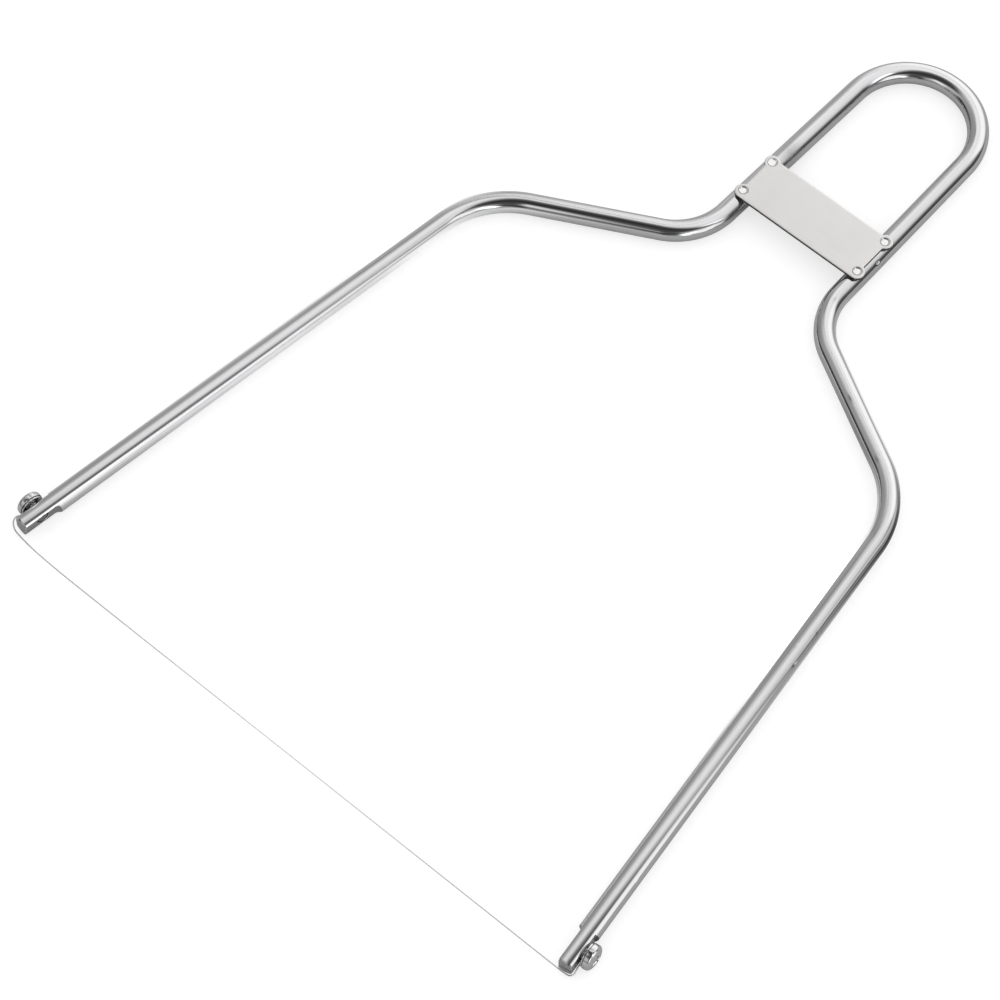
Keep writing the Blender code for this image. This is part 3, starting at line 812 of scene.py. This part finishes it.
def wireCourse():
    # left: springs off the outer flat, swings round the tip; middle: nearly straight; right: hugs the corner
    loop = np.array(wire["leftLoop"])
    left = onEnd(-1, loop[:, 0], loop[:, 1], np.full(len(loop), wire["level"]))
    inset = (wire["cornerRadius"] - 0.2 - wire["radius"]) / math.sqrt(2)
    a = np.linspace(0, math.pi / 2, 8)
    corner = onEnd(1, bar["tongueLength"] - inset + wire["cornerRadius"] * np.sin(a),
                   bar["outerFlat"] - inset + wire["cornerRadius"] * np.cos(a), np.full(8, wire["level"]))
    lastPoint = onEnd(1, np.array([bar["tongueLength"] + wire["endGap"] + wire["radius"]]),
                      np.array([-bar["innerFlat"]]), np.array([wire["level"]]))[0]
    x = np.concatenate([left[-1, 0] + np.array([4.0, 8.0, 13.0, 20.0, 30.0]), np.linspace(-70, 100, 18)])
    straight = lastPoint[1] - wire["slackSlope"] * (lastPoint[0] - x)
    offAtLeft = left[-1, 1] - lastPoint[1] + wire["slackSlope"] * (lastPoint[0] - left[-1, 0])
    y = straight + offAtLeft * np.exp(-(x - left[-1, 0]) / wire["leftEase"])
    middleRun = np.stack([x, y, np.full_like(x, lastPoint[2])], -1)
    rightRun = onEnd(1, np.array([9.5, 11.5]), np.full(2, wire["height"]), np.full(2, wire["level"]))
    return np.vstack([wireTail(-1), left, middleRun, lastPoint[None], corner[::-1], rightRun[::-1],
                      wireTail(1)[::-1]])


def makeWire():
    # ring at each place: centre + radius (cos a across + sin a over), both square to the path
    path = smoothThrough(wireCourse(), 5)
    step = np.linalg.norm(np.diff(path, axis=0), axis=1)
    path = path[np.concatenate([[True], step > 1e-6])]
    tangent = np.gradient(path, axis=0)
    tangent /= np.linalg.norm(tangent, axis=1)[:, None]
    upward = np.array([0, 0, 1.0])
    across = np.cross(tangent, upward)
    across /= np.linalg.norm(across, axis=1)[:, None]
    over = np.cross(across, tangent)
    a = np.linspace(0, 2 * np.pi, wire["around"] + 1)[:-1]
    ring = wire["radius"] * (np.cos(a)[None, :, None] * across[:, None, :]
                             + np.sin(a)[None, :, None] * over[:, None, :])
    points = path[:, None, :] + ring
    rows, columns = points.shape[:2]
    faces = gridFaces(rows, columns).tolist() + [list(range(columns - 1, -1, -1)),
                                                 [(rows - 1) * columns + j for j in range(columns)]]
    piece = newPiece("wire", points.reshape(-1, 3), [[0, 1, 2]], wireSteel, "frame",
                     ["cutting_wire"])
    piece.data.clear_geometry()
    piece.data.from_pydata((points.reshape(-1, 3) * mm).tolist(), [], faces)
    fixNormals(piece)
    piece.data.shade_smooth()
    piece.data.set_sharp_from_angle(angle=math.radians(60))


makeWire()
print("wire done")


camera = {
    "place": (0.505139, -0.651348, 1.364657),
    "right": (0.7485930, 0.6630160, 0.0042738),
    "down": (0.5766054, -0.6478201, -0.4978507),
    "focal": 162.0,
}
cameraData = bpy.data.cameras.new("camera")
cameraData.lens = camera["focal"]
cameraData.sensor_width = 36.0
cameraData.clip_start, cameraData.clip_end = 0.05, 50.0
cameraObject = bpy.data.objects.new("camera", cameraData)
bpy.context.scene.collection.objects.link(cameraObject)
right = Vector(camera["right"]).normalized()
upward = -Vector(camera["down"])
back = right.cross(upward).normalized()
upward = back.cross(right)
turn = Matrix((right, upward, back)).transposed().to_4x4()
turn.translation = Vector(camera["place"])
cameraObject.matrix_world = turn
bpy.context.scene.camera = cameraObject
print("camera ready")

room = {
    "floorColor": 0.42,
    "floorLift": 0.66,          # own light of the floor, so that its tone reaches white
    "horizon": 0.188,           # what the steel sees between the cards, low and overhead
    "zenith": 1.020,
    "fill": 1.0,                # even light for the matt surfaces
    "cardCentre": (0.0, 0.0036, 0.00475),
    "cardGain": 1.0,
    "floorInGloss": 0.444,      # floor's tone in the polished steel, away from the pools
}

# pools of light and shade on the floor, seen in the steel: x, y, half sizes m, turn degrees, strength
pools = [
    (-0.180, 0.0276, 0.092, 0.023, -196, 1.60),
    (0.091, -0.0234, 0.014, 0.040, 189, 2.44),
    (0.068, 0.0596, 0.014, 0.031, -115, 0.85),
    (0.111, 0.0336, 0.058, 0.052, -26, -0.42),
    (-0.191, 0.0516, 0.049, 1.163, 38, 0.58),
]

# soft cards round the object: azimuth, elevation, distance, roll, half sizes, brightness, softness
cards = [
    (10.9, 28.9, 5.453, 16.1, 0.544, 3.674, 2.404, 0.061),
    (167.9, 15.7, 4.239, 45.0, 5.796, 2.121, 0.311, 0.348),
    (-13.3, -3.4, 3.510, -52.3, 2.149, 0.960, 2.244, 0.039),
    (-54.4, 19.0, 2.453, -60.0, 0.393, 0.652, 0.048, 0.045),
    (-154.5, 2.2, 2.330, -55.6, 0.542, 1.295, 0.037, 0.105),
    (-77.5, 63.3, 1.344, -28.0, 1.041, 0.729, 0.059, 0.144),
    (14.3, -3.4, 1.284, -72.7, 0.689, 1.302, 0.059, 0.199),
    (139.1, 52.1, 1.256, 42.4, 0.048, 0.416, 0.083, 0.105),
    (109.0, 18.1, 1.235, 59.6, 0.538, 1.410, 1.183, 0.168),
    (116.2, 49.4, 0.551, -38.8, 0.143, 0.096, 0.992, 0.060),
    (-17.0, 67.4, 0.511, 39.9, 0.071, 0.662, 0.026, 0.111),
    (-1.5, 12.5, 0.476, -70.7, 0.165, 0.148, 1.132, 0.087),
    (134.9, -2.3, 0.468, -7.1, 0.081, 0.214, 0.257, 0.171),
    (-97.7, 36.6, 0.326, -49.0, 0.068, 0.093, 0.941, 0.074),
    (18.8, 10.0, 0.178, 71.3, 0.005, 0.073, 1.115, 0.089),
]


def makeFloor():
    mesh = bpy.data.meshes.new("floor")
    mesh.from_pydata([(-6, -6, 0), (6, -6, 0), (6, 6, 0), (-6, 6, 0)], [], [(0, 1, 2, 3)])
    material, tree, shader = newMaterial("pale floor")
    tree.nodes.remove(shader)
    matt = tree.nodes.new("ShaderNodeBsdfDiffuse")
    path = tree.nodes.new("ShaderNodeLightPath")
    matt.inputs["Color"].default_value = (*[room["floorColor"]] * 3, 1)
    glow = node(tree, "ShaderNodeEmission", Strength=room["floorLift"])
    plain = tree.nodes.new("ShaderNodeAddShader")
    tree.links.new(matt.outputs[0], plain.inputs[0])
    tree.links.new(glow.outputs[0], plain.inputs[1])
    coords = tree.nodes.new("ShaderNodeTexCoord")
    tone = room["floorInGloss"]
    for x, y, halfX, halfY, turn, strength in pools:
        pool = spot(tree, coords.outputs["Object"], (x, y), math.radians(turn), (halfX, halfY))
        tone = math2(tree, "ADD", math2(tree, "MULTIPLY", pool, strength), tone)
    tone = math2(tree, "MAXIMUM", tone, 0.02)
    pooled = tree.nodes.new("ShaderNodeBsdfDiffuse")
    tree.links.new(tone, pooled.inputs["Color"])
    both = tree.nodes.new("ShaderNodeMixShader")
    tree.links.new(path.outputs["Is Glossy Ray"], both.inputs[0])
    tree.links.new(plain.outputs[0], both.inputs[1])
    tree.links.new(pooled.outputs[0], both.inputs[2])
    tree.links.new(both.outputs[0], tree.nodes["Material Output"].inputs["Surface"])
    mesh.materials.append(material)
    floorObject = bpy.data.objects.new("floor", mesh)
    bpy.context.scene.collection.objects.link(floorObject)


def makeRoom():
    world = bpy.data.worlds.new("room")
    bpy.context.scene.world = world
    world.use_nodes = True
    tree = world.node_tree
    back = tree.nodes["Background"]
    back.inputs["Color"].default_value = (1, 1, 1, 1)
    coords = tree.nodes.new("ShaderNodeTexCoord")
    parts = tree.nodes.new("ShaderNodeSeparateXYZ")
    tree.links.new(coords.outputs["Generated"], parts.inputs[0])
    height = math2(tree, "MAXIMUM", parts.outputs["Z"], 0.0)
    dim = ramp(tree, height, room["horizon"], room["zenith"])
    path = tree.nodes.new("ShaderNodeLightPath")
    seen = math2(tree, "MULTIPLY", dim, path.outputs["Is Glossy Ray"])
    even = math2(tree, "MULTIPLY", math2(tree, "SUBTRACT", 1.0, path.outputs["Is Glossy Ray"]), room["fill"])
    tree.links.new(math2(tree, "ADD", seen, even), back.inputs["Strength"])


def makeCard(index, azimuth, elevation, distance, roll, halfWidth, halfHeight, brightness, softness):
    # card facing the object, strength = s(halfWidth - |u|) s(halfHeight - |v|), s a smooth step
    azimuth, elevation, roll = map(math.radians, (azimuth, elevation, roll))
    level = math.cos(elevation)
    out = Vector((level * math.cos(azimuth), level * math.sin(azimuth), math.sin(elevation)))
    u0 = Vector((0, 0, 1)).cross(out).normalized()
    v0 = out.cross(u0)
    u = math.cos(roll) * u0 + math.sin(roll) * v0
    v = -math.sin(roll) * u0 + math.cos(roll) * v0
    fade = softness * distance * 0.5
    reach = 5.0 * fade
    place = Vector(room["cardCentre"]) + distance * out
    mesh = bpy.data.meshes.new(f"card_{index}")
    width, height = halfWidth + reach, halfHeight + reach
    corners = [(-width, -height, 0), (width, -height, 0), (width, height, 0), (-width, height, 0)]
    mesh.from_pydata(corners, [], [(0, 1, 2, 3)])
    turn = Matrix((u, v, out)).transposed().to_4x4()
    turn.translation = place
    card = bpy.data.objects.new(f"card_{index}", mesh)
    bpy.context.scene.collection.objects.link(card)
    card.matrix_world = turn
    material, tree, shader = newMaterial(f"card_{index}")
    tree.nodes.remove(shader)
    coords = tree.nodes.new("ShaderNodeTexCoord")
    parts = tree.nodes.new("ShaderNodeSeparateXYZ")
    tree.links.new(coords.outputs["Object"], parts.inputs[0])
    masks = []
    for name, half in (("X", halfWidth), ("Y", halfHeight)):
        inside = math2(tree, "SUBTRACT", half, math2(tree, "ABSOLUTE", parts.outputs[name]))
        outside = math2(tree, "MULTIPLY", inside, -1.0)
        power = math2(tree, "POWER", 2.718282, math2(tree, "DIVIDE", outside, fade))
        masks.append(math2(tree, "DIVIDE", 1.0, math2(tree, "ADD", power, 1.0)))
    mask = math2(tree, "MULTIPLY", masks[0], masks[1])
    glow = node(tree, "ShaderNodeEmission", Strength=brightness * room["cardGain"])
    clear = tree.nodes.new("ShaderNodeBsdfTransparent")
    mix = tree.nodes.new("ShaderNodeMixShader")
    tree.links.new(mask, mix.inputs[0])
    tree.links.new(clear.outputs[0], mix.inputs[1])
    tree.links.new(glow.outputs[0], mix.inputs[2])
    tree.links.new(mix.outputs[0], tree.nodes["Material Output"].inputs["Surface"])
    mesh.materials.append(material)
    card.visible_camera = False
    card.visible_diffuse = False
    card.visible_shadow = False
    card.visible_transmission = False


makeFloor()
makeRoom()
for index, card in enumerate(cards):
    makeCard(index, *card)
print("room:", len(cards), "cards")

bpy.context.scene.view_settings.view_transform = "Standard"
bpy.context.scene.cycles.use_denoising = True

print("scene ready")
